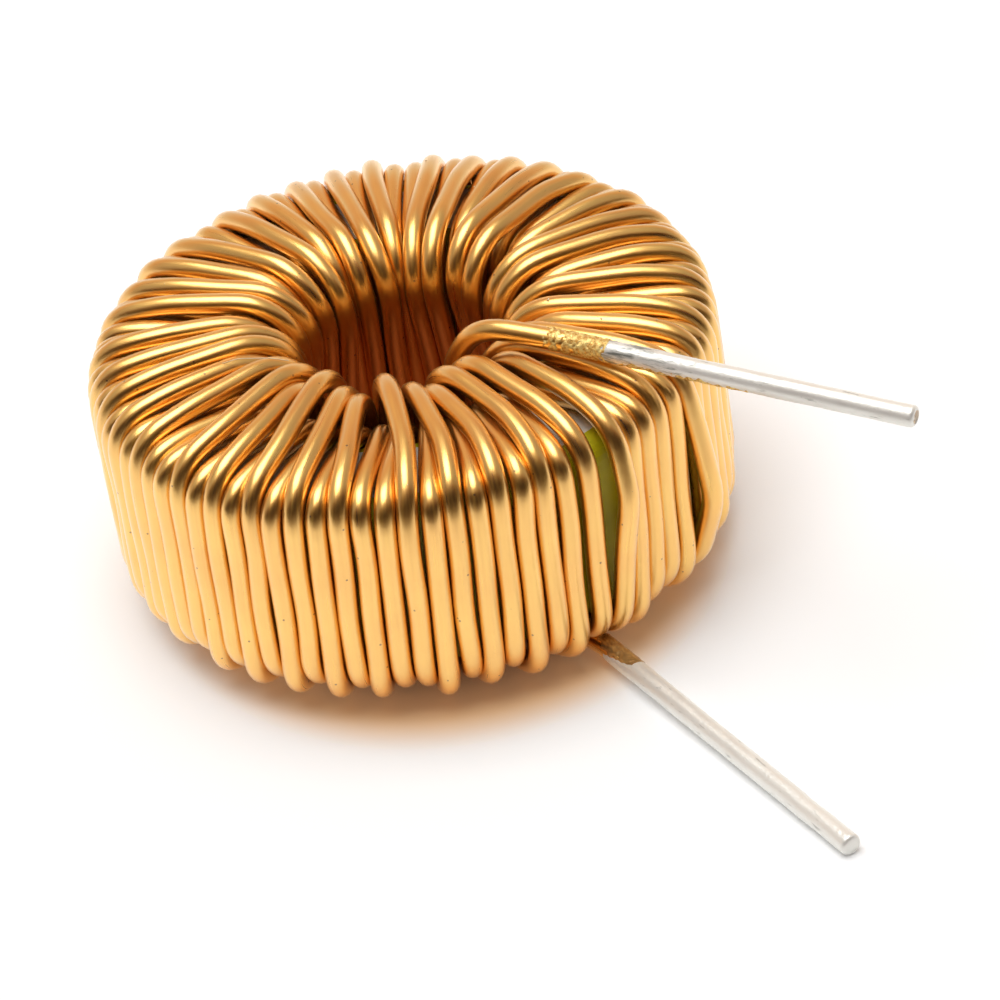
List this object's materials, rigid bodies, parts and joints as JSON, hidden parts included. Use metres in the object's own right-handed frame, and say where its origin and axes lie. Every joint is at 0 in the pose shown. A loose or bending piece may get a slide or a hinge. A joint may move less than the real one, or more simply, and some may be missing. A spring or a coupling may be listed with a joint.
{
  "type": "toroidal inductor",
  "caption": "Toroidal power inductor: a coated iron powder ring wound all round with enamelled copper wire, with two tinned wire leads.",
  "frame": {"origin": "centre of the ring core, on its axis, midway between its faces", "axes": "+Z along the ring's axis, towards the white face and the upper lead; the leads leave towards +X -Y"},
  "size_m": [0.0314, 0.0384, 0.0129],
  "materials": {
    "iron_powder": "pressed grey iron powder, matt",
    "yellow_epoxy": "smooth lime-yellow epoxy coat",
    "white_paint": "smooth white paint",
    "enamelled_copper": "drawn copper under clear amber enamel",
    "solder": "dipped solder, bright with fine frosting",
    "burnt_enamel": "crusty gold-brown burnt enamel",
    "flux": "thin brown film of dried flux"
  },
  "bodies": {
    "root": {"iron_core": "iron_powder", "yellow_coat": "yellow_epoxy", "white_face": "white_paint", "winding": "enamelled_copper", "upper_tin": "solder", "lower_tin": "solder", "burnt_enamel": "burnt_enamel", "flux_film": "flux"}
  },
  "joints": []
}
